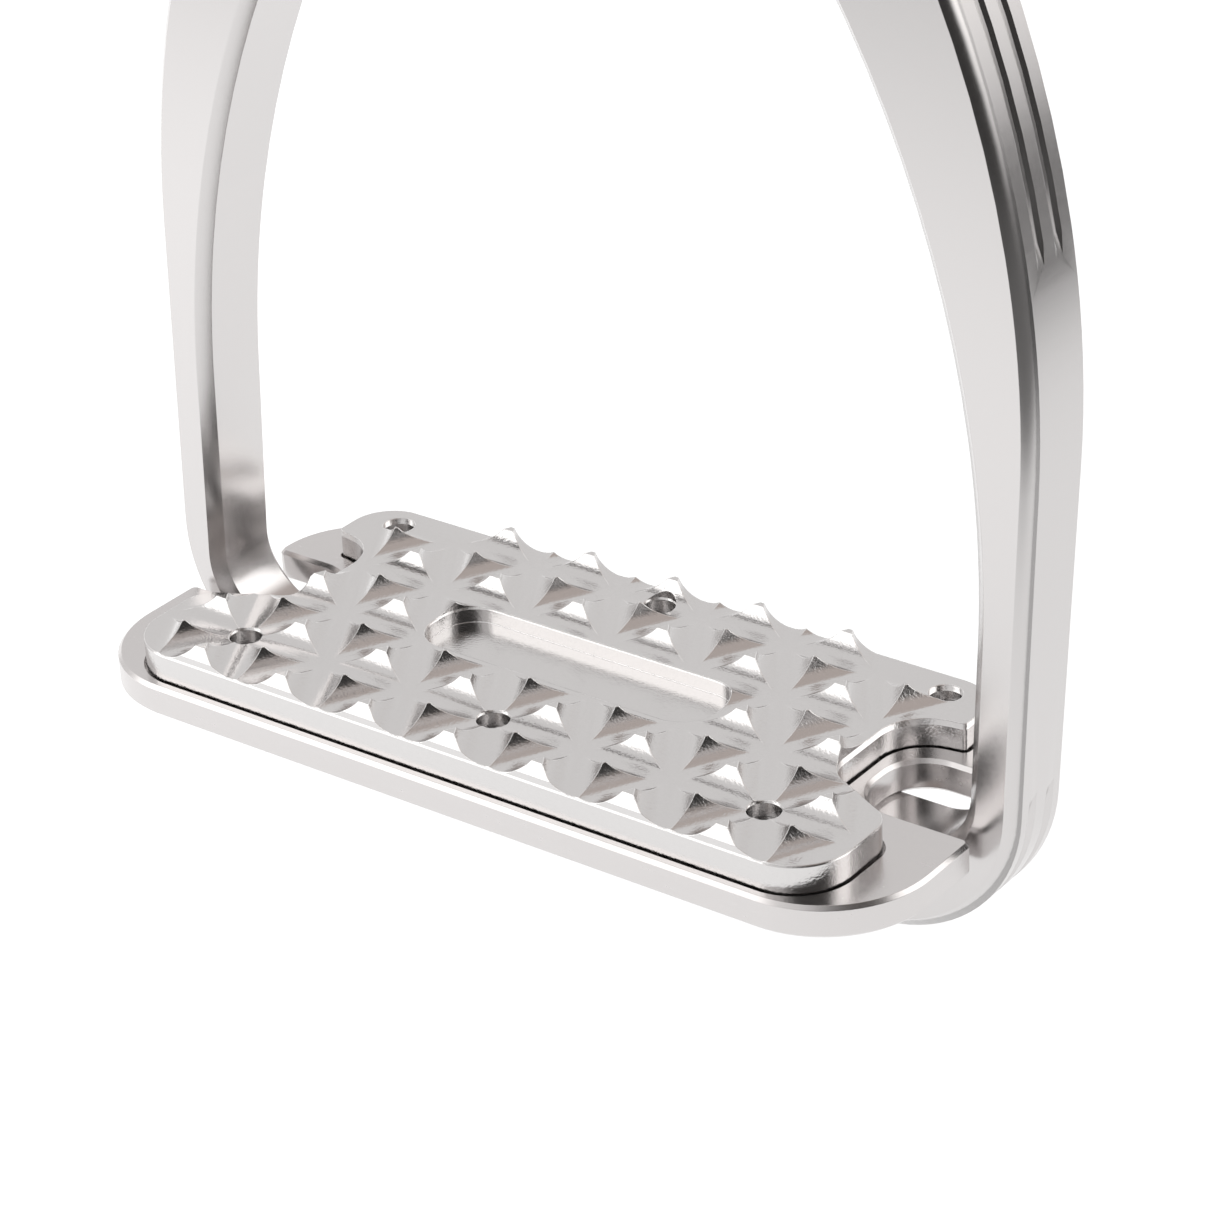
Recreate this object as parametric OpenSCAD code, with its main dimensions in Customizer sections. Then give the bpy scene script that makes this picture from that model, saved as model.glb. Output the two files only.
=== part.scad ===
// Stirrup iron: an arch with a leather eye, a foot plate on its sloped bar and a milled grip tread.
// Origin under the middle of the bar, +X towards the high end of the footbed, +Y to the rear, +Z up.

/* [Arch] */
// Clear width between the arms
inside_width = 119; // [112:1:128]
// Thickness of an arm beside the foot
arm_thickness = 7.1; // [6:0.1:9]
// Height from the underside of the bar to the top of the arch
arch_height = 171; // [164:1:182]
// Thickness of the bar at its middle
bar_thickness = 11.6; // [11:0.1:14]
// Sideways slope of the footbed, in degrees
slope = 2.77; // [0:0.01:4]
// Depth of the arch, front to back, at the underside of the bar
depth_at_bar = 11.4; // [10.6:0.1:13]
// Depth of the arch, front to back, at its top
depth_at_top = 14.6; // [12:0.1:17]
// How far the arch stands behind the middle of the footbed
arch_setback = 5; // [3:0.1:6]
// Bevel along the four long edges of the arch
arch_bevel = 1.6; // [1:0.1:2]
// Outer radius where an arm turns into the bar
bend_radius = 22.2; // [18:0.1:25]
// Inner radius where an arm turns into the bar
inner_fillet = 8.8; // [7:0.1:11]
// Height at which the outside of an arm starts to lean in
outer_lean_start = 66; // [55:1:75]
// Height at which the inside of an arm starts to lean in
inner_lean_start = 44; // [36:1:52]
// Radius of the inside of the arch at its top
crown_radius = 30; // [25:1:35]
// Radius of the two top corners
top_corner = 10; // [7:0.5:12]

/* [Leather eye] */
// Width of the slot for the leather
eye_width = 30; // [26:1:34]
// Height of the slot for the leather
eye_height = 10; // [8:0.5:12]
// Corner radius of the slot
eye_corner = 3; // [1.5:0.5:4]
// Metal above the slot
eye_top_wall = 6; // [5:0.5:9]
// Metal below the slot
eye_web = 5.3; // [4:0.1:8]
// Metal beside the slot
eye_side_wall = 6.6; // [5.5:0.1:9]

/* [Flutes] */
// Width of a flute on the outside of the arch
flute_width = 1.8; // [1.2:0.1:2.2]
// Depth of a flute
flute_depth = 0.6; // [0.3:0.1:0.9]
// Distance between the two flutes
flute_spacing = 4; // [3:0.1:4.4]
// Height at which the upper flutes end
flute_end = 93; // [86:1:110]
// Length over which a flute runs out
flute_runout = 2.5; // [1.5:0.5:4]

/* [Foot plate] */
// Thickness of the foot plate
plate_thickness = 4.4; // [3.8:0.1:5]
// Depth of the foot plate, front to back
plate_depth = 53; // [52:0.5:58]
// How far the front horns reach past the inside of the arms
horn_overlap = 3; // [1:0.1:5]
// How much shorter the rear horns are than the front ones
rear_horn_setback = 3; // [1:0.1:5]
// Radius of the plate's two front corners
plate_corner = 15; // [10:0.5:15]
// Bevel along the plate's upper edge
plate_bevel = 0.5; // [0.3:0.1:0.8]
// Bevel along the plate's lower edge
plate_lower_bevel = 0.5; // [0.3:0.1:1]
// Room beside an arm in its notch
notch_gap = 1.3; // [1:0.1:2]
// Room between the inside of an arm and the root of its notch
notch_reach = 14.8; // [13:0.1:17]
// Depth of the recess that holds the tread
recess_depth = 1.2; // [0.8:0.1:1.4]

/* [Tread] */
// Height of the tread's floor above the plate
tread_rise = 4; // [3:0.1:5]
// Margin of plate in front of and behind the tread
tread_margin = 1.7; // [1.5:0.1:3]
// Margin of plate beside the front lobes of the tread
front_lobe_margin = 7.6; // [6.6:0.1:9]
// Margin of plate beside the rear lobes of the tread
rear_lobe_margin = 8.8; // [8:0.1:10]
// Margin of plate inside the root of each notch
notch_margin = 2.2; // [1.5:0.1:2.8]
// Margin of plate behind each notch, at the end of the rear lobe
notch_rear_margin = 3.4; // [3:0.1:4]
// How much the front edge of a rear lobe leans forward towards the notch's root
rear_lobe_lean = 1.3; // [0:0.1:1.5]
// Where the back edge of a front lobe leaves its end, in front of the plate's middle
lobe_outer_edge = 8.8; // [8.2:0.1:9.5]
// Where the back edge of a front lobe meets the notch, in front of the plate's middle
lobe_inner_edge = 2.8; // [2.6:0.1:3.6]
// Distance of the front row of holes from the plate's front edge
front_hole_margin = 11.5; // [10.5:0.1:12.5]
// Distance of the rear row of holes from the plate's rear edge
rear_hole_margin = 5.8; // [5.5:0.1:6.8]
// Height of a grip above the tread's floor
grip_height = 2.4; // [2:0.05:2.8]
// Radius of the ball cutter that mills the grooves
groove_radius = 3.94; // [3.8:0.02:4.4]
// How far the lengthwise grooves lie in front of the crossings of the other two
groove_shift = 0.5; // [0:0.05:0.7]
// Length of the pocket in the tread
pocket_length = 45.6; // [40:0.1:50]
// Width of the pocket in the tread
pocket_width = 11.9; // [9:0.1:13]
// Distance of the pocket's middle behind the plate's middle
pocket_offset = 2.2; // [1:0.1:3]
// Depth of the pocket below the tread's floor
pocket_depth = 2.2; // [1:0.1:3]
// Corner radius of the pocket
pocket_corner = 5; // [3:0.1:5.5]
// Plain length left at each rear corner of the tread
plain_corner = 16.5; // [15.8:0.1:22]

/* [Screws] */
// Shank diameter of a screw that holds the tread
tread_screw_d = 4.5; // [4:0.5:5]
// Head diameter of a screw that holds the tread
tread_screw_head_d = 9.2; // [8:0.1:9.4]
// How far a tread screw ends below the tread's floor
tread_screw_end = 2.2; // [1.5:0.1:3]
// Key size of a tread screw
tread_screw_key = 3; // [2.5:0.5:3]
// Distance of the outer rear holes from the ends of the tread
rear_hole_inset = 6.3; // [5.5:0.1:7]
// Shank diameter of a screw that holds the plate on the bar
bar_screw_d = 4; // [3:0.5:5]
// Head diameter of a screw that holds the plate on the bar
bar_screw_head_d = 7.5; // [7:0.1:8]
// Length of thread of a bar screw inside the bar
bar_screw_grip = 7; // [5:0.5:7.5]
// Key size of a bar screw
bar_screw_key = 2.5; // [2:0.5:3]
// Distance of the inner bar screws from the middle
bar_screw_inner = 12; // [8:0.5:16]
// Distance of the outer bar screws from the middle
bar_screw_outer = 34; // [28:0.5:35]

/* [Clearances] */
// Gap round the tread in its recess
recess_gap = 0.35; // [0.2:0.05:0.5]
// Radial gap between a screw and its hole
screw_gap = 0.05; // [0.02:0.01:0.1]
// Room below the end of a bar screw
bar_hole_spare = 0.8; // [0.5:0.1:1.5]

/* [Hidden] */
$fn = 72;

// Steps along each stretch of the arch
bend_steps = 20;
lower_shoulder_steps = 8;
upper_shoulder_steps = 14;
top_corner_steps = 10;
crown_steps = 8;
// Steps round each corner of an outline, from the front corner to the rear one
outline_steps = [18, 8, 8, 10, 6, 14];

// How far a cutter reaches past the face that it cuts
overcut = 1;
// How far a groove cutter dips below the floor, so that the grips stand apart on flat metal
groove_dip = 0.02;
// Small radius that breaks the sharp corners of an outline
edge_break = 0.7;
// Height of the waste that is faced off the plate's two sides
edge_spare = 0.4;
// Straight land round the head of a countersunk screw
screw_land = 0.2;

// Half widths of the arch
half_inside = inside_width / 2;
half_outside = half_inside + arm_thickness;

// Heights at the top of the arch
eye_z = arch_height - eye_top_wall - eye_height / 2;
opening_top = eye_z - eye_height / 2 - eye_web;

// Outer shoulder: an arc upright where the lean starts and tangent to the top corner
top_corner_x = eye_width / 2 + eye_side_wall - top_corner;
top_corner_z = arch_height - top_corner;
outer_run = half_outside - top_corner_x;
outer_rise = top_corner_z - outer_lean_start;
outer_radius = (outer_run ^ 2 + outer_rise ^ 2 - top_corner ^ 2) / (2 * (outer_run - top_corner));
outer_end_angle = atan2(outer_rise, outer_radius - outer_run);

// Inner shoulder: an arc upright where the lean starts and tangent to the crown
crown_z = opening_top - crown_radius;
inner_rise = crown_z - inner_lean_start;
inner_radius = (half_inside ^ 2 + inner_rise ^ 2 - crown_radius ^ 2) / (2 * (half_inside - crown_radius));
inner_end_angle = atan2(inner_rise, inner_radius - half_inside);
crown_split_angle = (inner_end_angle + 90) / 2;

// Footbed levels, measured square to the seat on the bar
recess_floor = plate_thickness - recess_depth;
tread_floor = plate_thickness + tread_rise;

// Foot plate outline
plate_front_half = half_inside + horn_overlap;
plate_rear_half = plate_front_half - rear_horn_setback;
notch_root = half_inside - notch_reach;
notch_half = depth_at_bar / 2 + notch_gap;
notch_root_r = 6;
horn_tip_r = plate_bevel + edge_break;
rear_corner = plate_depth / 2 - arch_setback - notch_half - horn_tip_r - edge_break;

// Tread outline
tread_half_depth = plate_depth / 2 - tread_margin;
tread_front_half = plate_front_half - front_lobe_margin;
tread_rear_half = plate_rear_half - rear_lobe_margin;
tread_notch_root = notch_root - notch_margin;
tread_notch_rear = arch_setback + notch_half + notch_rear_margin;
tread_front_r = 8;
tread_rear_r = 6;
lobe_tip_r = 4;
lobe_root_r = 5;
tread_notch_r = min(7, tread_rear_half - tread_notch_root - 2 * edge_break);

// Groove lattice, three steps from the front row of holes to the rear one
front_row = plate_depth / 2 - front_hole_margin;
rear_row = plate_depth / 2 - rear_hole_margin;
row_step = (front_row + rear_row) / 3;
pitch = row_step * 2 / sqrt(3);
cell_inradius = row_step / 3;
grip_end_margin = 5;
last_column = ceil(tread_front_half / pitch);

// Screw places on the footbed
tread_hole_front = 3 * pitch;
tread_hole_rear = tread_rear_half - rear_hole_inset;
tread_screw_length = tread_floor - tread_screw_end;
bar_screw_length = recess_floor + bar_screw_grip;

silver = [0.82, 0.81, 0.81];
steel = [0.66, 0.66, 0.68];

// A point on a circle in a plane
function on_circle(centre, radius, angle) = centre + radius * [cos(angle), sin(angle)];
function mix(a, b, t) = a + (b - a) * t;
function unit(v) = v / norm(v);

// The points of a rounded corner p between its neighbours a and b
function corner_arc(a, p, b, radius, steps) =
    let (
        to_a = unit(a - p),
        to_b = unit(b - p),
        half = acos(to_a * to_b) / 2,
        centre = p + unit(to_a + to_b) * radius / sin(half),
        start = p + to_a * radius / tan(half) - centre,
        turn = (to_a.x * to_b.y - to_a.y * to_b.x > 0 ? -1 : 1) * (180 - 2 * half)
    )
    [for (i = [0:steps])
        on_circle(centre, radius, atan2(start.y, start.x) + turn * i / steps)];

// A symmetric outline, from the corners of its right half given as [x, y, radius]
function rounded_outline(half) =
    let (
        corners = concat(half, [for (i = [len(half) - 1:-1:0]) [-half[i].x, half[i].y, half[i].z]]),
        count = len(corners),
        place = [for (c = corners) [c.x, c.y]]
    )
    [for (i = [0:count - 1])
        each corner_arc(place[(i + count - 1) % count], place[i], place[(i + 1) % count],
                        corners[i].z, outline_steps[min(i, count - 1 - i)])];

// An outline moved outwards by a distance, or inwards by a negative one
function grown(points, distance) =
    let (count = len(points))
    [for (i = [0:count - 1])
        let (
            before = unit(points[i] - points[(i + count - 1) % count]),
            after = unit(points[(i + 1) % count] - points[i]),
            normal_before = [before.y, -before.x],
            normal_after = [after.y, -after.x]
        )
        points[i] + (normal_before + normal_after) * distance / (1 + normal_before * normal_after)];

plate_outline = rounded_outline([
    [plate_front_half, -plate_depth / 2, plate_corner],
    [plate_front_half, arch_setback - notch_half, horn_tip_r],
    [notch_root, arch_setback - notch_half, notch_root_r],
    [notch_root, arch_setback + notch_half, notch_root_r],
    [plate_rear_half, arch_setback + notch_half, horn_tip_r],
    [plate_rear_half, plate_depth / 2, rear_corner]
]);

tread_outline = rounded_outline([
    [tread_front_half, -tread_half_depth, tread_front_r],
    [tread_front_half, -lobe_outer_edge, lobe_tip_r],
    [tread_notch_root, -lobe_inner_edge, lobe_root_r],
    [tread_notch_root, tread_notch_rear - rear_lobe_lean, tread_notch_r],
    [tread_rear_half, tread_notch_rear, edge_break],
    [tread_rear_half, tread_half_depth, tread_rear_r]
]);

// Stations round the arch: [outer point, outer angle, inner point, inner angle, share of the flutes' depth]

// Half of the arch from the middle of the bar to the top, with the seat tilted by an angle
function half_arch(tilt) =
    let (
        bend_centre = [half_outside - bend_radius, bend_radius],
        fillet_x = half_inside - inner_fillet,
        fillet_z = bar_thickness + fillet_x * tan(tilt) + inner_fillet / cos(tilt),
        fillet_centre = [fillet_x, fillet_z],
        outer_centre = [half_outside - outer_radius, outer_lean_start],
        inner_centre = [half_inside - inner_radius, inner_lean_start],
        corner_centre = [top_corner_x, top_corner_z],
        crown_centre = [0, crown_z],
        flute_tip = asin((flute_end - outer_lean_start) / outer_radius) / outer_end_angle,
        flute_full = asin((flute_end + flute_runout - outer_lean_start) / outer_radius) / outer_end_angle
    )
    concat(
        [[[0, 0], -90, [0, bar_thickness], tilt - 90, 1]],
        [for (i = [0:bend_steps])
            let (
                outer_angle = mix(-90, 0, i / bend_steps),
                inner_angle = mix(tilt - 90, 0, i / bend_steps)
            )
            [on_circle(bend_centre, bend_radius, outer_angle), outer_angle,
             on_circle(fillet_centre, inner_fillet, inner_angle), inner_angle, 1]],
        [[[half_outside, bend_radius + flute_runout], 0, [half_inside, fillet_z + flute_runout], 0, 0]],
        [for (i = [0:lower_shoulder_steps])
            let (
                outer_angle = outer_end_angle * flute_tip * i / lower_shoulder_steps,
                inner_angle = inner_end_angle * flute_tip * i / lower_shoulder_steps
            )
            [on_circle(outer_centre, outer_radius, outer_angle), outer_angle,
             on_circle(inner_centre, inner_radius, inner_angle), inner_angle, 0]],
        [for (i = [0:upper_shoulder_steps])
            let (
                share = mix(flute_full, 1, i / upper_shoulder_steps),
                outer_angle = outer_end_angle * share,
                inner_angle = inner_end_angle * share
            )
            [on_circle(outer_centre, outer_radius, outer_angle), outer_angle,
             on_circle(inner_centre, inner_radius, inner_angle), inner_angle, 1]],
        [for (i = [1:top_corner_steps])
            let (
                outer_angle = mix(outer_end_angle, 90, i / top_corner_steps),
                inner_angle = mix(inner_end_angle, crown_split_angle, i / top_corner_steps)
            )
            [on_circle(corner_centre, top_corner, outer_angle), outer_angle,
             on_circle(crown_centre, crown_radius, inner_angle), inner_angle, 0]],
        [for (i = [1:crown_steps])
            let (inner_angle = mix(crown_split_angle, 90, i / crown_steps))
            [[top_corner_x * (1 - i / crown_steps), arch_height], 90,
             on_circle(crown_centre, crown_radius, inner_angle), inner_angle, 0]]
    );

function mirrored_station(s) = [[-s[0].x, s[0].y], 180 - s[1], [-s[2].x, s[2].y], 180 - s[3], s[4]];

function arch_stations() =
    let (right = half_arch(slope), left = half_arch(-slope))
    concat(right, [for (i = [len(left) - 2:-1:1]) mirrored_station(left[i])]);

// Half of the arch's depth at a height
function half_depth(z) = mix(depth_at_bar, depth_at_top, z / arch_height) / 2;

// A point of the arch's section: a place in the plane of the arch, at an offset from its mid-plane
function at_depth(place, offset) = [place.x, arch_setback + offset, place.y];

// The five points across one flute, at an offset from the mid-plane
function flute_points(place, outward, offset, share) =
    [for (t = [-1:0.5:1])
        at_depth(place - outward * flute_depth * share * (1 - t ^ 2), offset + t * flute_width / 2)];

// The bevelled section of the arch at a station
function arch_section(s) =
    let (
        outer = s[0],
        outward = [cos(s[1]), sin(s[1])],
        inner = s[2],
        inward = [cos(s[3]), sin(s[3])],
        outer_shoulder = outer - outward * arch_bevel,
        inner_shoulder = inner + inward * arch_bevel,
        outer_half = half_depth(outer.y) - arch_bevel,
        inner_half = half_depth(inner.y) - arch_bevel,
        outer_face = half_depth(outer_shoulder.y),
        inner_face = half_depth(inner_shoulder.y)
    )
    concat(
        [at_depth(outer, -outer_half)],
        flute_points(outer, outward, -flute_spacing / 2, s[4]),
        flute_points(outer, outward, flute_spacing / 2, s[4]),
        [at_depth(outer, outer_half), at_depth(outer_shoulder, outer_face),
         at_depth(inner_shoulder, inner_face), at_depth(inner, inner_half),
         at_depth(inner, -inner_half), at_depth(inner_shoulder, -inner_face),
         at_depth(outer_shoulder, -outer_face)]
    );

// A closed ring of sections, as triangles
module closed_loft(sections) {
    rings = len(sections);
    sides = len(sections[0]);
    polyhedron(
        points = [for (section = sections) each section],
        faces = [for (r = [0:rings - 1], s = [0:sides - 1])
            let (
                a = r * sides + s,
                b = r * sides + (s + 1) % sides,
                c = (r + 1) % rings * sides + (s + 1) % sides,
                d = (r + 1) % rings * sides + s
            )
            each [[a, c, b], [a, d, c]]]
    );
}

// A solid through outlines of equally many points, given as [points, height]
module stacked_outlines(layers) {
    count = len(layers[0][0]);
    last = len(layers) - 1;
    polyhedron(
        points = [for (layer = layers, p = layer[0]) [p.x, p.y, layer[1]]],
        faces = concat(
            [[for (i = [0:count - 1]) i]],
            [[for (i = [count - 1:-1:0]) last * count + i]],
            [for (layer = [0:last - 1], i = [0:count - 1])
                let (
                    a = layer * count + i,
                    b = layer * count + (i + 1) % count
                )
                each [[a, a + count, b + count], [a, b + count, b]]]
        )
    );
}

// A rectangle with round corners, centred
module rounded_rectangle(size, radius) {
    square([size.x, size.y - 2 * radius], center = true);
    square([size.x - 2 * radius, size.y], center = true);
    for (x = [-1, 1], y = [-1, 1])
        translate([x * (size.x / 2 - radius), y * (size.y / 2 - radius)]) circle(r = radius);
}

// Moves children from the footbed's own level to the sloped seat, square above the underside's middle
module on_seat() {
    rotate([0, -slope, 0]) translate([0, 0, bar_thickness * cos(slope)]) children();
}

// Moves children to the place of one tread screw
module at_tread_screw(side, row) {
    x = side * (row == "front" ? tread_hole_front : tread_hole_rear);
    translate([x, row == "front" ? -front_row : rear_row, 0]) children();
}

// Repeats children at the place of every screw of a kind
module at_tread_screws() {
    for (side = [-1:1], row = ["front", "rear"]) at_tread_screw(side, row) children();
}

module at_bar_screws() {
    for (x = [-bar_screw_outer, -bar_screw_inner, bar_screw_inner, bar_screw_outer])
        translate([x, arch_setback, 0]) children();
}

// A countersunk form: a head with a straight land from zero upwards, then its cone and its shank
module countersunk(head_d, shank_d, land, length) {
    cone_end = land + (head_d - shank_d) / 2;
    rotate_extrude()
        polygon([[0, 0], [head_d / 2, 0], [head_d / 2, land], [shank_d / 2, cone_end],
                 [shank_d / 2, length], [0, length]]);
}

// The hole for a countersunk screw through a wall, with its head's face at zero
module countersunk_hole(head_d, shank_d, wall) {
    translate([0, 0, -overcut])
        countersunk(head_d, shank_d, overcut + screw_land, overcut + wall + overcut);
}

// A countersunk screw with a hexagonal socket
module socket_screw(head_d, shank_d, length, key) {
    socket_depth = key / 2;
    color(steel) difference() {
        countersunk(head_d - 2 * screw_gap, shank_d - 2 * screw_gap, screw_land, length);
        translate([0, 0, -overcut]) cylinder(d = key / cos(30), h = socket_depth + overcut, $fn = 6);
    }
}

// A groove cutter along a line at a distance in front of a grip's middle
module groove_cutter(distance) {
    translate([-pitch, -distance, groove_radius - groove_dip]) rotate([0, 90, 0])
        cylinder(r = groove_radius, h = 2 * pitch);
}

// One grip: a blunt triangle of the lattice hollowed on its three sides by the ball cutter
module grip(points_up) {
    side = points_up ? 1 : -1;
    base = side * cell_inradius + groove_shift;
    base_half = pitch / 2 + side * groove_shift / sqrt(3);
    difference() {
        linear_extrude(grip_height)
            polygon([[-base_half, -base], [base_half, -base], [0, side * 2 * cell_inradius]]);
        groove_cutter(base);
        for (turn = [120, 240]) rotate(turn) groove_cutter(side * cell_inradius);
    }
}

// How far from the middle a grip may stand, by its distance behind the plate's middle
function grip_reach(y) =
    y < -lobe_inner_edge ? tread_front_half - grip_end_margin
    : y < tread_notch_rear ? tread_notch_root
    : y < rear_row ? tread_rear_half - grip_end_margin
    : tread_rear_half - plain_corner;

// Every grip whose middle lies on the tread
module grips() {
    for (row = [-1:3], column = [-last_column:0.5:last_column], points_up = [true, false]) {
        x = column * pitch;
        y = row * row_step - front_row + (points_up ? 1 : 2) * cell_inradius;
        even_row = row % 2 == 0;
        half_column = column != floor(column);
        if (half_column == (even_row == points_up) && abs(x) <= grip_reach(y))
            translate([x, y, 0]) grip(points_up);
    }
}

module arch() {
    color(silver) difference() {
        closed_loft([for (s = arch_stations()) arch_section(s)]);
        translate([0, arch_setback + depth_at_top, eye_z]) rotate([90, 0, 0])
            linear_extrude(2 * depth_at_top) rounded_rectangle([eye_width, eye_height], eye_corner);
        on_seat() at_bar_screws() translate([0, 0, -bar_screw_grip - bar_hole_spare])
            cylinder(d = bar_screw_d, h = bar_screw_grip + bar_hole_spare + overcut);
    }
}

// A slab of waste that is faced off the plate from a height upwards
module facing_cutter(height) {
    translate([-inside_width, -plate_depth, height]) cube([2 * inside_width, 2 * plate_depth, 2 * edge_spare]);
}

module foot_plate() {
    color(silver) on_seat() difference() {
        stacked_outlines([
            [grown(plate_outline, -plate_lower_bevel - edge_spare), -edge_spare],
            [plate_outline, plate_lower_bevel],
            [plate_outline, plate_thickness - plate_bevel],
            [grown(plate_outline, -plate_bevel - edge_spare), plate_thickness + edge_spare]
        ]);
        facing_cutter(plate_thickness);
        facing_cutter(-2 * edge_spare);
        translate([0, 0, recess_floor]) linear_extrude(recess_depth + overcut)
            polygon(grown(tread_outline, recess_gap));
        at_tread_screws() countersunk_hole(tread_screw_head_d, tread_screw_d, recess_floor);
        at_bar_screws() translate([0, 0, recess_floor]) mirror([0, 0, 1])
            countersunk_hole(bar_screw_head_d, bar_screw_d, recess_floor);
    }
}

module tread() {
    color(silver) on_seat() difference() {
        union() {
            translate([0, 0, recess_floor]) linear_extrude(tread_floor - recess_floor) polygon(tread_outline);
            translate([0, 0, tread_floor]) intersection() {
                linear_extrude(grip_height + overcut) polygon(tread_outline);
                grips();
            }
        }
        translate([0, pocket_offset, tread_floor - pocket_depth])
            linear_extrude(pocket_depth + grip_height + overcut)
                rounded_rectangle([pocket_length, pocket_width], pocket_corner);
        at_tread_screws() cylinder(d = tread_screw_d, h = tread_floor + grip_height + overcut);
    }
}

// A tread screw, driven up through the plate
module tread_screw(side, row) {
    on_seat() at_tread_screw(side, row)
        socket_screw(tread_screw_head_d, tread_screw_d, tread_screw_length, tread_screw_key);
}

// A bar screw, driven down through the plate under the tread
module bar_screw(x) {
    on_seat() translate([x, arch_setback, recess_floor]) mirror([0, 0, 1])
        socket_screw(bar_screw_head_d, bar_screw_d, bar_screw_length, bar_screw_key);
}

arch();
foot_plate();
tread();
tread_screw(-1, "front");  // tread_screw_front_left
tread_screw(0, "front");  // tread_screw_front_middle
tread_screw(1, "front");  // tread_screw_front_right
tread_screw(-1, "rear");  // tread_screw_rear_left
tread_screw(0, "rear");  // tread_screw_rear_middle
tread_screw(1, "rear");  // tread_screw_rear_right
bar_screw(-bar_screw_outer);  // bar_screw_left_outer
bar_screw(-bar_screw_inner);  // bar_screw_left_inner
bar_screw(bar_screw_inner);  // bar_screw_right_inner
bar_screw(bar_screw_outer);  // bar_screw_right_outer
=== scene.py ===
import math

import bmesh
import bpy
from mathutils import Matrix, Vector


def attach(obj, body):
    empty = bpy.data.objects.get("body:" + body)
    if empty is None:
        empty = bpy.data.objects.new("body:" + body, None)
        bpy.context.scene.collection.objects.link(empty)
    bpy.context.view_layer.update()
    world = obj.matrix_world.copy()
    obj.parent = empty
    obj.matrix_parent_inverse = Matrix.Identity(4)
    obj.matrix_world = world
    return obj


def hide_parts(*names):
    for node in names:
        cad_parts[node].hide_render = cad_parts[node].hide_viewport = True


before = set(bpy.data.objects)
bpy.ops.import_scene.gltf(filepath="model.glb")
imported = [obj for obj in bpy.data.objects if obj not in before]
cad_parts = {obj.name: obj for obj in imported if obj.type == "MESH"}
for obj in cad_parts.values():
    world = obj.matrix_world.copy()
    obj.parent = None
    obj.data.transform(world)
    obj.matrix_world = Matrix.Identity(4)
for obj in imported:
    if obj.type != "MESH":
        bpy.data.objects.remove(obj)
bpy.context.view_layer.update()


# Sizes of the iron that its finishes follow, in metres

# Sideways slope of the footbed
SLOPE = math.radians(2.77)
# Thickness of the bar and of the plate, rise of the tread's floor, and its level square to the slope
BAR_THICKNESS = 0.0116
PLATE_THICKNESS = 0.0044
TREAD_RISE = 0.004
TREAD_FLOOR = BAR_THICKNESS * math.cos(SLOPE) + PLATE_THICKNESS + TREAD_RISE
# Height of the broken edge along most of the tread's rim, and at its notches
RIM_BREAK = 0.00035
NOTCH_BREAK = 0.0009
# Where the rim changes to a notch, out from the middle and towards the rear
NOTCH_ACROSS = (0.036, 0.040)
NOTCH_REAR = (-0.005, -0.001)
# Height of the middle of the arch's opening
OPENING_MIDDLE = 0.09


# Node helpers

def new_material(name):
    """A material with an empty node tree."""
    material = bpy.data.materials.new(name)
    material.use_nodes = True
    material.node_tree.nodes.clear()
    return material


def add_node(tree, kind, inputs=None, **settings):
    """A node with its settings and its unlinked inputs set, or linked where a socket is given."""
    node = tree.nodes.new(kind)
    for name, value in settings.items():
        setattr(node, name, value)
    for name, value in (inputs or {}).items():
        if isinstance(value, bpy.types.NodeSocket):
            tree.links.new(value, node.inputs[name])
        else:
            node.inputs[name].default_value = value
    return node


def calc(tree, operation, first, second=0.0, clamp=False):
    """The result of a sum on one or two values."""
    node = add_node(tree, "ShaderNodeMath", {0: first, 1: second}, operation=operation, use_clamp=clamp)
    return node.outputs["Value"]


def dot(tree, first, second):
    """The dot product of two vectors."""
    node = add_node(tree, "ShaderNodeVectorMath", {0: first, 1: second}, operation="DOT_PRODUCT")
    return node.outputs["Value"]


def ramp(tree, value, reach, ends=(0.0, 1.0), curve="LINEAR"):
    """How far a value is through its reach, as a value between two ends."""
    node = add_node(tree, "ShaderNodeMapRange",
                    {"Value": value, "From Min": reach[0], "From Max": reach[1],
                     "To Min": ends[0], "To Max": ends[1]}, interpolation_type=curve)
    return node.outputs["Result"]


def blend(tree, share, first, second):
    """A colour that goes from the first to the second as the share goes from 0 to 1."""
    node = add_node(tree, "ShaderNodeMix", {"Factor": share, "A": first, "B": second}, data_type="RGBA")
    return node.outputs["Result"]


def new_group(name, inputs, outputs):
    """A node group, the sockets that it takes values from and the sockets that it gives them to."""
    tree = bpy.data.node_groups.new(name, "ShaderNodeTree")
    for way, sockets in (("INPUT", inputs), ("OUTPUT", outputs)):
        for socket, kind in sockets.items():
            tree.interface.new_socket(socket, in_out=way, socket_type=kind)
    return tree, add_node(tree, "NodeGroupInput").outputs, add_node(tree, "NodeGroupOutput").inputs


# Object helpers

def add_object(name, data):
    """A new object in the scene."""
    piece = bpy.data.objects.new(name, data)
    bpy.context.scene.collection.objects.link(piece)
    return piece


def add_mesh(name, shape, material):
    """A new mesh object from a finished bmesh, which is freed."""
    mesh = bpy.data.meshes.new(name)
    shape.to_mesh(mesh)
    shape.free()
    mesh.materials.append(material)
    return add_object(name, mesh)


# Metals of the iron

# Depth of the grain at full strength, and the stretch of its tone over which the roughness changes
GRAIN_DEPTH = 0.0001
GRAIN_STRETCH = (0.3, 0.7)
# Samples that find a rounded edge
EDGE_SAMPLES = 6
# Cosines of the turn of a rounded edge at which the painted highlight along a ridge starts and is full, and
# the highlight's colour
RIDGE_TURN = (0.995, 0.93)
RIDGE_HIGHLIGHT_COLOUR = (0.98, 0.97, 0.965, 1)


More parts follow.
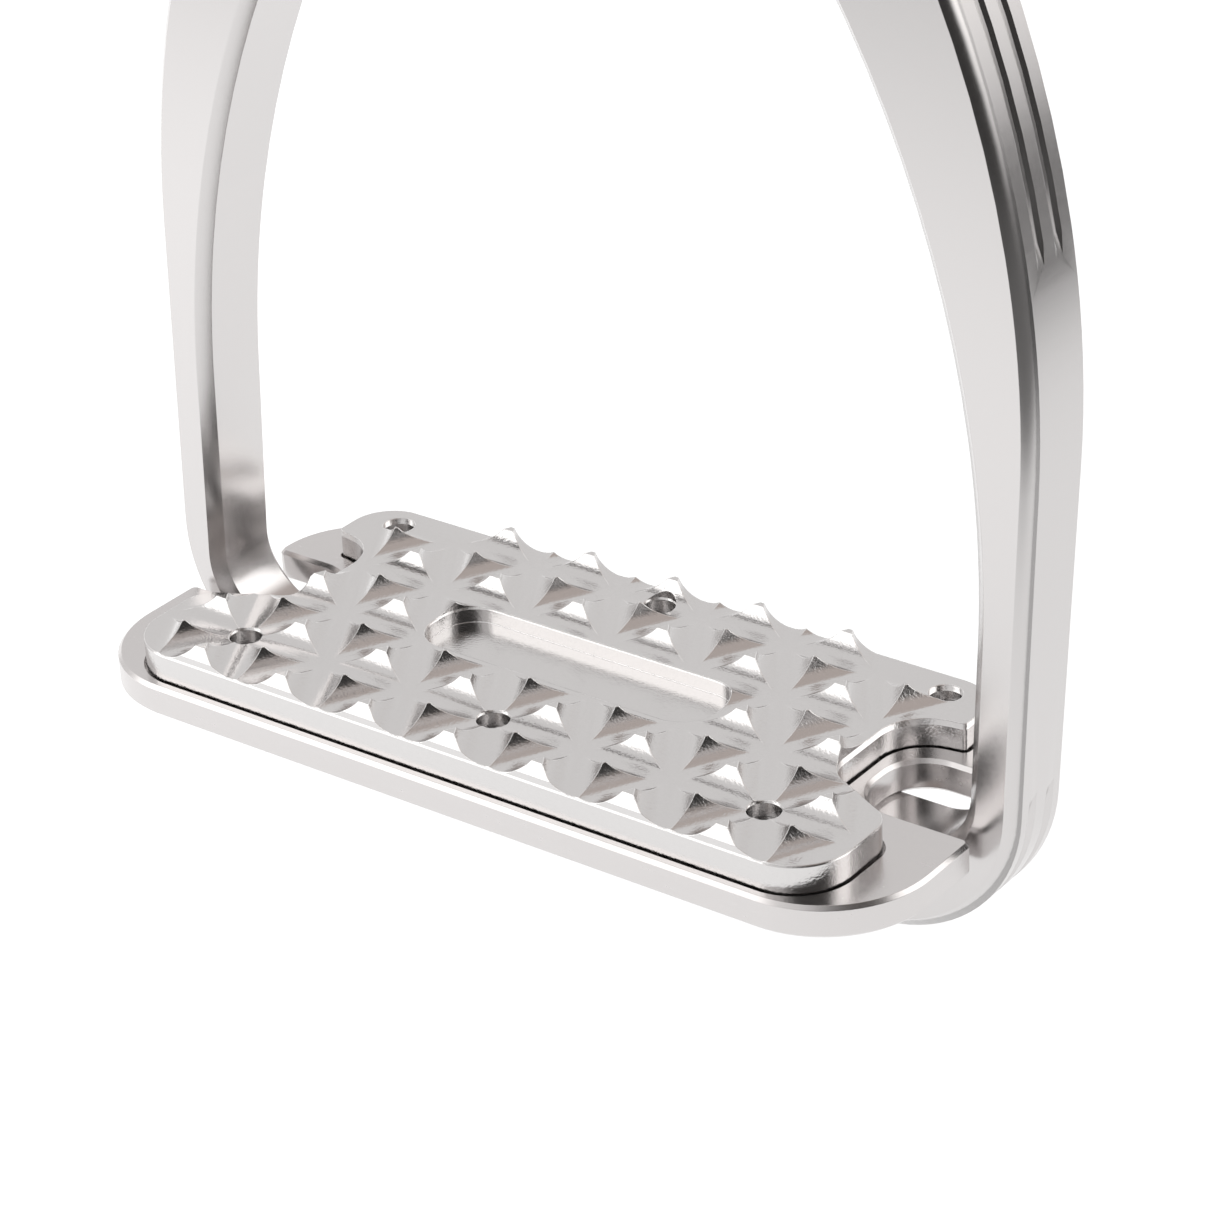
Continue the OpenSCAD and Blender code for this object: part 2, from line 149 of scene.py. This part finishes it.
def grain_group():
    """Fine lines drawn along one direction as a height, and their mean with clouds as a tone from 0 to 1."""
    tree, start, end = new_group(
        "grain",
        {"Vector": "NodeSocketVector", "Lines": "NodeSocketVector", "Clouds": "NodeSocketFloat"},
        {"Height": "NodeSocketFloat", "Tone": "NodeSocketFloat"})
    stretched = add_node(tree, "ShaderNodeVectorMath", {0: start["Vector"], 1: start["Lines"]},
                         operation="MULTIPLY")
    lines = add_node(tree, "ShaderNodeTexNoise",
                     {"Vector": stretched.outputs["Vector"], "Scale": 1.0, "Detail": 2.0, "Roughness": 0.6})
    clouds = add_node(tree, "ShaderNodeTexNoise",
                      {"Vector": start["Vector"], "Scale": start["Clouds"], "Detail": 3.0, "Roughness": 0.5})
    both = calc(tree, "ADD", lines.outputs["Fac"], clouds.outputs["Fac"])
    tree.links.new(lines.outputs["Fac"], end["Height"])
    tree.links.new(calc(tree, "MULTIPLY", both, 0.5), end["Tone"])
    return tree


def broken_edge_group():
    """Height that falls away towards the rim of the tread's walls, as a broken edge does."""
    tree, start, end = new_group("broken_edge", {"Vector": "NodeSocketVector"}, {"Height": "NodeSocketFloat"})
    place = add_node(tree, "ShaderNodeSeparateXYZ", {"Vector": start["Vector"]}).outputs
    across = ramp(tree, calc(tree, "ABSOLUTE", place["X"]), NOTCH_ACROSS)
    behind = ramp(tree, place["Y"], NOTCH_REAR)
    rim = ramp(tree, calc(tree, "MULTIPLY", across, behind), (0.0, 1.0), (RIM_BREAK, NOTCH_BREAK))
    level = dot(tree, start["Vector"], (-math.sin(SLOPE), 0, math.cos(SLOPE)))
    below = calc(tree, "SUBTRACT", TREAD_FLOOR, level)
    height = calc(tree, "MAXIMUM", calc(tree, "MINIMUM", below, rim), 0.0)
    tree.links.new(height, end["Height"])
    return tree


GRAIN = grain_group()


def metal(name, dark, light, roughness, lines, clouds, bump, rounded, edge=None):
    """Bare machined metal with a drawn grain and rounded edges; roughness is a (least, most) pair.

    With an edge group it also has a broken rim and a painted highlight along its ridges.
    """
    material = new_material(name)
    tree = material.node_tree
    place = add_node(tree, "ShaderNodeTexCoord").outputs["Object"]
    grain = add_node(tree, "ShaderNodeGroup", {"Vector": place, "Lines": lines, "Clouds": clouds},
                     node_tree=GRAIN).outputs
    colour = blend(tree, grain["Tone"], (*dark, 1), (*light, 1))
    rough = ramp(tree, grain["Tone"], GRAIN_STRETCH, roughness)
    soft = add_node(tree, "ShaderNodeBevel", {"Radius": rounded}, samples=EDGE_SAMPLES).outputs["Normal"]
    normal = add_node(tree, "ShaderNodeBump",
                      {"Height": grain["Height"], "Strength": bump, "Distance": GRAIN_DEPTH,
                       "Normal": soft}).outputs["Normal"]
    if edge:
        plain = add_node(tree, "ShaderNodeNewGeometry").outputs["Normal"]
        # Painted highlight: the base colour turns near white along the ridges, where the edges glint
        ridge_highlight = ramp(tree, dot(tree, soft, plain), RIDGE_TURN)
        colour = blend(tree, ridge_highlight, colour, RIDGE_HIGHLIGHT_COLOUR)
        rim = add_node(tree, "ShaderNodeGroup", {"Vector": place}, node_tree=edge).outputs["Height"]
        normal = add_node(tree, "ShaderNodeBump",
                          {"Height": rim, "Strength": 1.0, "Distance": 1.0,
                           "Normal": normal}).outputs["Normal"]
    shader = add_node(tree, "ShaderNodeBsdfPrincipled",
                      {"Base Color": colour, "Metallic": 1.0, "Roughness": rough, "Normal": normal})
    add_node(tree, "ShaderNodeOutputMaterial", {"Surface": shader.outputs["BSDF"]})
    return material


arch_metal = metal("arch_satin", dark=(0.655, 0.637, 0.633), light=(0.695, 0.676, 0.672),
                   roughness=(0.21, 0.25), lines=(2600, 90, 2600), clouds=1400, bump=0.012, rounded=0.0001)
plate_metal = metal("plate_satin", dark=(0.655, 0.633, 0.628), light=(0.705, 0.683, 0.678),
                    roughness=(0.22, 0.28), lines=(140, 2400, 2400), clouds=1200, bump=0.03, rounded=0.0001)
tread_metal = metal("tread_milled", dark=(0.645, 0.632, 0.627), light=(0.725, 0.711, 0.706),
                    roughness=(0.13, 0.19), lines=(3000, 3000, 3000), clouds=4200, bump=0.36, rounded=0.0002,
                    edge=broken_edge_group())
screw_metal = metal("screw_steel", dark=(0.56, 0.55, 0.55), light=(0.66, 0.65, 0.65),
                    roughness=(0.16, 0.26), lines=(1500, 1500, 1500), clouds=700, bump=0.03, rounded=0.0001)


# Pieces

# Distance within which a node's loose triangles are joined
MERGE_GAP = 2e-7
# How squarely a face looks to the front or rear: least for a flat side, and least for a bevel
SIDE_FACING = 0.95
BEVEL_FACING = 0.25
# Share of the full turn of the shading on the bevels round the opening
OPENING_TURN = 0.2


def round_bevels(mesh):
    """Turns the shading across the flat sides' bevels, fully on the outline and partly round the opening."""
    sides = {vert for face in mesh.polygons if abs(face.normal.y) > SIDE_FACING for vert in face.vertices}
    normals = [corner.vector.copy() for corner in mesh.corner_normals]
    for face in mesh.polygons:
        if not BEVEL_FACING < abs(face.normal.y) < SIDE_FACING or sides.isdisjoint(face.vertices):
            continue
        outward = face.normal.x * face.center.x + face.normal.z * (face.center.z - OPENING_MIDDLE) > 0
        share = 1.0 if outward else OPENING_TURN
        for corner in face.loop_indices:
            if mesh.loops[corner].vertex_index not in sides:
                turned = Vector((normals[corner].x, 0, normals[corner].z)).normalized()
                normals[corner] = normals[corner].lerp(turned, share).normalized()
    mesh.normals_split_custom_set(normals)


def finished_copy(node, crease, material, rounded=False):
    """A copy of a node with its triangles joined, shaded smooth up to a crease angle in degrees."""
    shape = bmesh.new()
    shape.from_mesh(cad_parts[node].data)
    bmesh.ops.remove_doubles(shape, verts=shape.verts, dist=MERGE_GAP)
    for face in shape.faces:
        face.smooth = True
    for edge in shape.edges:
        edge.smooth = edge.is_manifold and edge.calc_face_angle(0.0) < math.radians(crease)
    piece = add_mesh(node + "_finished", shape, material)
    attributes = piece.data.attributes
    if "custom_normal" in attributes:
        attributes.remove(attributes["custom_normal"])
    if rounded:
        round_bevels(piece.data)
    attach(piece, "root")
    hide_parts(node)


finished_copy("arch", crease=20, material=arch_metal, rounded=True)
finished_copy("foot_plate", crease=30, material=plate_metal)
finished_copy("tread", crease=24, material=tread_metal)

for name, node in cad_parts.items():
    if "screw" in name:
        node.material_slots[0].material = screw_metal


# Floor

# Half of its width, the colour of its paint, and the share of its own white that is seen over the paint
FLOOR_HALF = 8.0
FLOOR_PAINT = (0.85, 0.85, 0.85, 1)
FLOOR_WHITE_SHARE = 0.86
# White round its middle, with painted shade that greys it further off: the distances over which it fades, and
# both tones
FLOOR_MIDDLE = (-0.05, 0.10, 0.0)
FLOOR_FADE = (0.40, 0.90)
FLOOR_TONES = (1.0, 0.85)
# Painted light, lighter towards the front left: the direction, the reach along it and the gain at both ends
FLOOR_LIT = (-0.9, -0.44, 0.0)
FLOOR_LIT_REACH = (-0.13, 0.20)
FLOOR_LIT_GAIN = (1.05, 1.36)
# Shade to the right and in front: each a direction, the reach along it and the share of light left
FLOOR_SHADES = [((0.98, -0.196, 0.0), (0.155, 0.26), 0.06),
                ((0.0, -1.0, 0.0), (0.12, 0.36), 0.5)]


def floor_material():
    """White floor that keeps a soft shadow, with painted light and shade that are the same for the eye and in
    the metal.
    """
    material = new_material("floor_white")
    tree = material.node_tree
    place = add_node(tree, "ShaderNodeTexCoord").outputs["Object"]
    offset = add_node(tree, "ShaderNodeVectorMath", {0: place, 1: FLOOR_MIDDLE}, operation="DISTANCE")
    # Painted shade further off, painted light towards the front left and painted shade at two ends, as
    # strengths of the floor's white
    tone = ramp(tree, offset.outputs["Value"], FLOOR_FADE, FLOOR_TONES, "SMOOTHSTEP")
    gain = ramp(tree, dot(tree, place, FLOOR_LIT), FLOOR_LIT_REACH, FLOOR_LIT_GAIN)
    tone = calc(tree, "MULTIPLY", tone, gain)
    for towards, reach, left in FLOOR_SHADES:
        shade = ramp(tree, dot(tree, place, towards), reach, (1.0, left), "SMOOTHSTEP")
        tone = calc(tree, "MULTIPLY", tone, shade)
    rays = add_node(tree, "ShaderNodeLightPath").outputs
    seen = calc(tree, "ADD", rays["Is Camera Ray"], rays["Is Glossy Ray"])
    seen = calc(tree, "ADD", seen, rays["Is Transmission Ray"], clamp=True)
    share = calc(tree, "MULTIPLY", seen, FLOOR_WHITE_SHARE)
    paint = add_node(tree, "ShaderNodeBsdfDiffuse", {"Color": FLOOR_PAINT})
    white = add_node(tree, "ShaderNodeEmission", {"Color": (1, 1, 1, 1), "Strength": tone})
    mixed = add_node(tree, "ShaderNodeMixShader",
                     {0: share, 1: paint.outputs["BSDF"], 2: white.outputs["Emission"]})
    add_node(tree, "ShaderNodeOutputMaterial", {"Surface": mixed.outputs["Shader"]})
    return material


floor_shape = bmesh.new()
bmesh.ops.create_grid(floor_shape, x_segments=1, y_segments=1, size=FLOOR_HALF)
add_mesh("floor", floor_shape, floor_material())


# Lamps and room

# Point that the lamps are aimed at
LAMP_TARGET = Vector((0, 0, 0.03))
# Colour of the room
ROOM_COLOUR = (0.833, 0.821, 0.818, 1)
# Soft round patches in the room: azimuth, elevation, inner and outer angle in degrees, and a colour
ROOM_PATCHES = [
    # Warm grey, high at the rear right
    (45, 52, 39, 46, (0.56, 0.50, 0.47, 1)),
    # Dark, low at the right
    (-22, 17, 35, 65, (0.045, 0.043, 0.042, 1)),
    # Bright, at the front left
    (-138, 24, 13, 30, (2.05, 2.03, 2.01, 1)),
    # Bright, at the rear right
    (40, 31, 10, 32, (1.9, 1.88, 1.86, 1)),
]


def softbox(name, place, size, power):
    """A square soft lamp for the floor; the metal mirrors the room's patches in its stead."""
    lamp = bpy.data.lights.new(name, "AREA")
    lamp.shape = "SQUARE"
    lamp.size = size
    lamp.energy = power
    piece = add_object(name, lamp)
    piece.location = place
    piece.rotation_euler = (LAMP_TARGET - Vector(place)).to_track_quat("-Z", "Y").to_euler()
    piece.visible_glossy = False


def studio():
    """Light room with its patches laid over each other in turn."""
    world = bpy.data.worlds.new("studio")
    bpy.context.scene.world = world
    world.use_nodes = True
    tree = world.node_tree
    tree.nodes.clear()
    direction = add_node(tree, "ShaderNodeTexCoord").outputs["Generated"]
    colour = ROOM_COLOUR
    for *angles, patch_colour in ROOM_PATCHES:
        azimuth, elevation, inner, outer = map(math.radians, angles)
        middle = (math.cos(azimuth) * math.cos(elevation), math.sin(azimuth) * math.cos(elevation),
                  math.sin(elevation))
        facing = dot(tree, direction, middle)
        share = ramp(tree, facing, (math.cos(outer), math.cos(inner)), curve="SMOOTHSTEP")
        colour = blend(tree, share, colour, patch_colour)
    glow = add_node(tree, "ShaderNodeBackground", {"Color": colour, "Strength": 1.0})
    add_node(tree, "ShaderNodeOutputWorld", {"Surface": glow.outputs["Background"]})


softbox("softbox_left", place=(-0.62, -0.66, 0.62), size=0.80, power=3.6)
softbox("softbox_back", place=(0.52, 0.88, 0.70), size=0.65, power=2.4)
studio()


# Camera

# Lens and sensor in millimetres, the camera's place, and its turn, downward look and roll in degrees
CAMERA_LENS = 115.2
CAMERA_SENSOR = 36.0
CAMERA_PLACE = (0.25885, -0.34128, 0.27377)
CAMERA_TURN = 36.56
CAMERA_DOWN = 29.69
CAMERA_ROLL = -0.26

camera_data = bpy.data.cameras.new("camera")
camera_data.lens = CAMERA_LENS
camera_data.sensor_width = CAMERA_SENSOR
camera = add_object("camera", camera_data)
turn = Matrix.Rotation(math.radians(CAMERA_TURN), 4, "Z")
tilt = Matrix.Rotation(math.radians(90 - CAMERA_DOWN), 4, "X")
roll = Matrix.Rotation(math.radians(CAMERA_ROLL), 4, "Z")
camera.matrix_world = Matrix.Translation(CAMERA_PLACE) @ turn @ tilt @ roll
bpy.context.scene.camera = camera

bpy.context.scene.view_settings.view_transform = "Standard"
